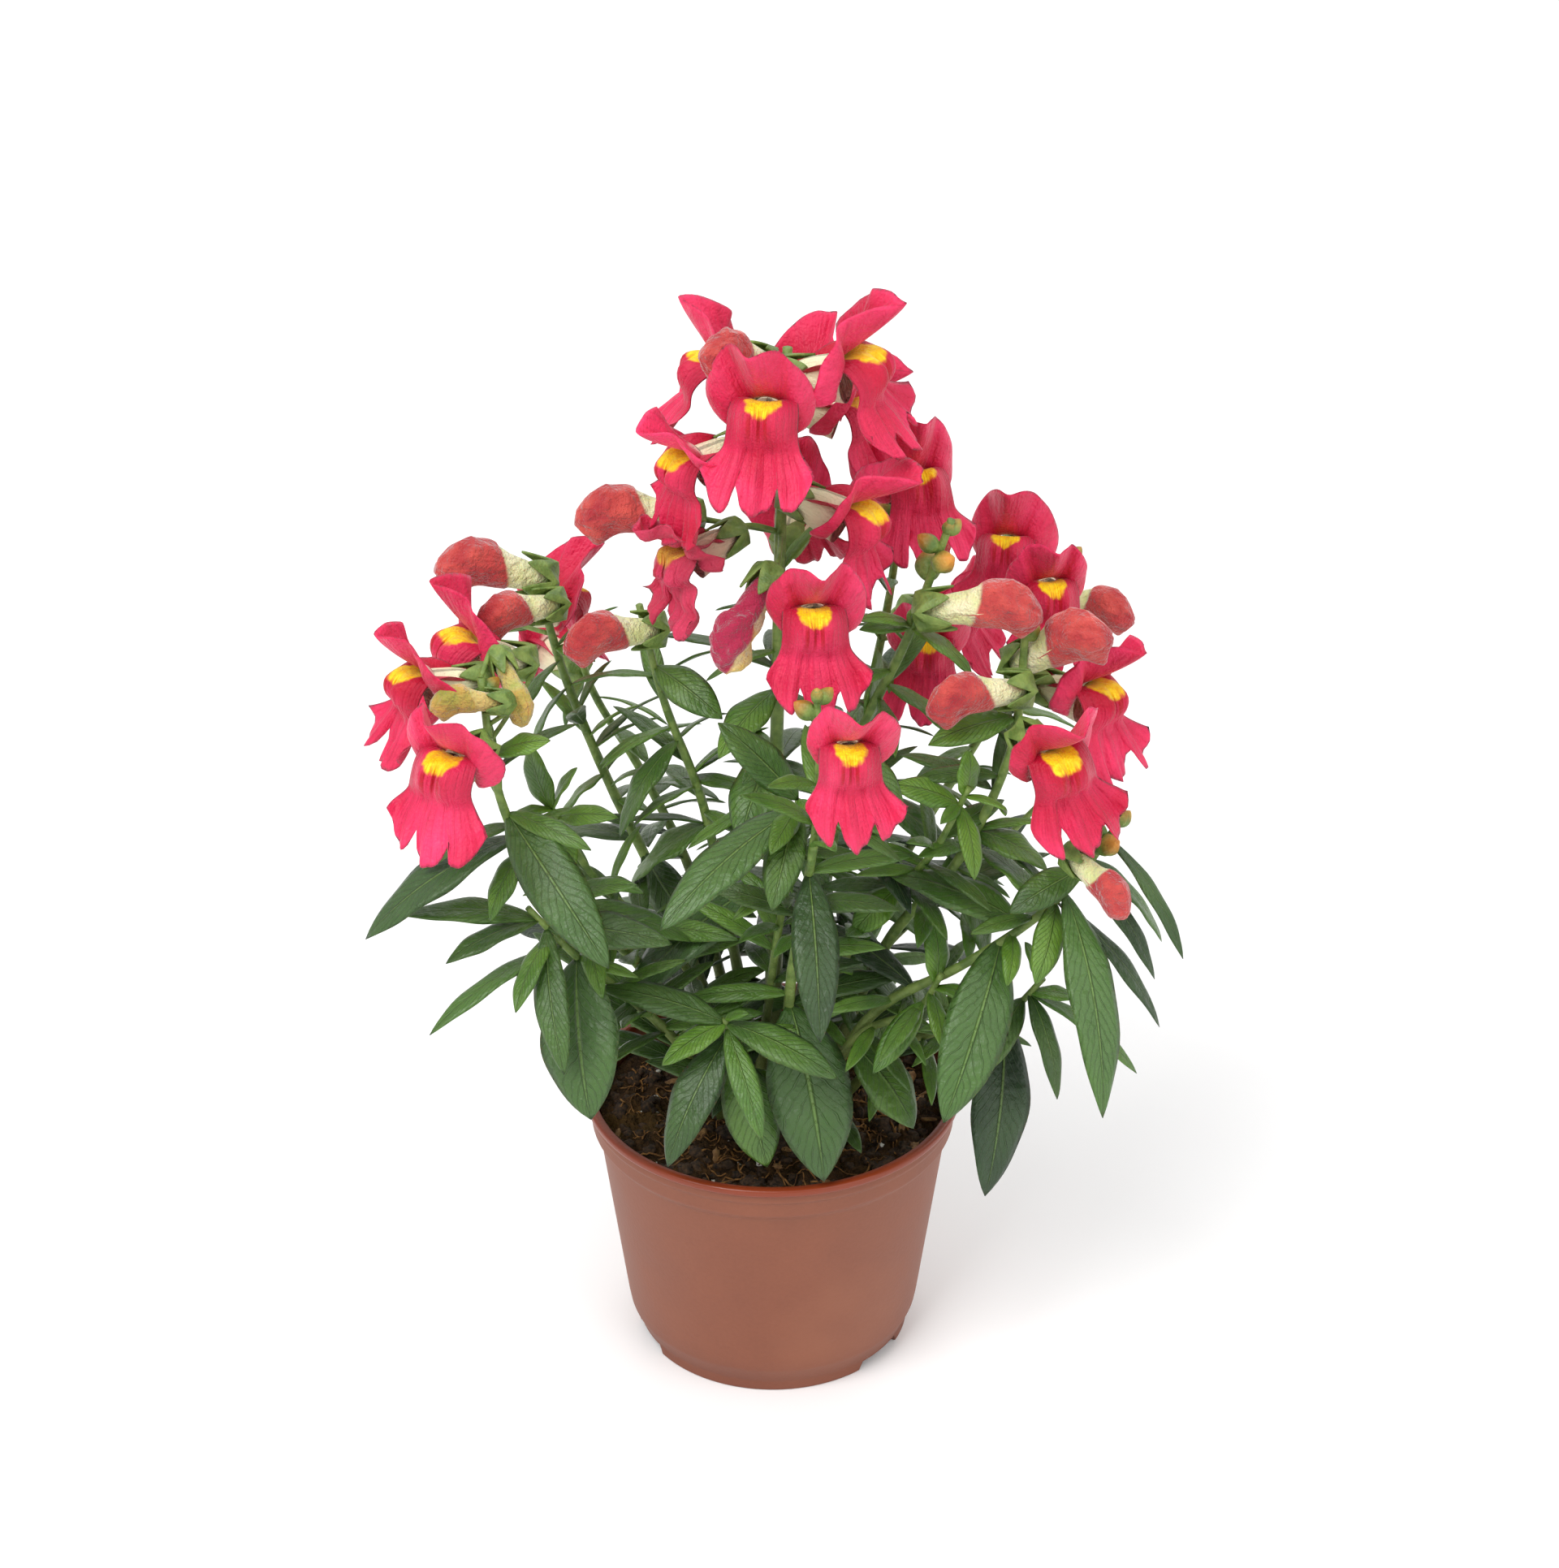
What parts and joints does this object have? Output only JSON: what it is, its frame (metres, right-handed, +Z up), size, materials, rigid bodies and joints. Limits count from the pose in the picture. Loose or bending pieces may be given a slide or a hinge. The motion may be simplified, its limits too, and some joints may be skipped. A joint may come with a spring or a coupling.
{
  "type": "potted snapdragon",
  "caption": "Snapdragon plant in a round tapered nursery pot, with leafy stems, two-lipped open flowers, closed buds and peat soil.",
  "frame": {"origin": "centre of the bounding box in plan, on the plane that the pot stands on; the pot axis is 5 mm in front of it", "axes": "+Z up along the pot's axis, the plant's front towards -Y, its right to +X"},
  "size_m": [0.2106, 0.1758, 0.3164],
  "materials": {
    "pot": "terracotta-coloured plastic, satin",
    "soil": "damp peat",
    "leaf": "soft green leaf with a slight sheen",
    "petal": "velvety petal",
    "bud": "downy bud"
  },
  "bodies": {
    "root": {"pot": "pot", "soil": "soil", "stem_main": "leaf", "stem_left_back": "leaf", "stem_left_front": "leaf", "stem_left_mid": "leaf", "stem_right_mid": "leaf", "stem_back_right": "leaf", "stem_right_front": "leaf", "stem_right_back": "leaf", "stem_right_low": "leaf", "stem_front": "leaf", "stem_back_left": "leaf", "shoot_left_low": "leaf", "shoot_front": "leaf", "shoot_centre": "leaf", "shoot_right_low": "leaf", "shoot_right_far": "leaf", "shoot_left_mid": "leaf", "shoot_right_mid": "leaf", "shoot_back": "leaf", "shoot_back_far_right": "leaf", "bloom_top_left": "petal", "bloom_top_centre": "petal", "bloom_upper_left": "petal", "bloom_faded_left": "petal", "bloom_top_right": "petal", "bloom_top_right_under": "petal", "bloom_mid_right": "petal", "bloom_main_back": "petal", "bloom_top_back": "petal", "bloom_centre": "petal", "bloom_left_upper": "petal", "bloom_left_outer": "petal", "bloom_left_front": "petal", "bloom_left_behind": "petal", "bloom_back_tall": "petal", "bloom_back_right": "petal", "bloom_right_upper": "petal", "bloom_right_outer": "petal", "bloom_right_front": "petal", "bloom_front": "petal", "bloom_back_low": "petal", "bloom_back_side": "petal", "bloom_back_left": "petal", "bud_top": "bud", "bud_upper_left": "bud", "bud_withered": "bud", "bud_left_large": "bud", "bud_left_small": "bud", "bud_left_tip": "bud", "bud_left_green": "bud", "bud_mid_left": "bud", "bud_back": "bud", "bud_right_far": "bud", "bud_right_long": "bud", "bud_right_tall": "bud", "bud_right_inner": "bud", "bud_right_low": "bud"}
  },
  "joints": []
}
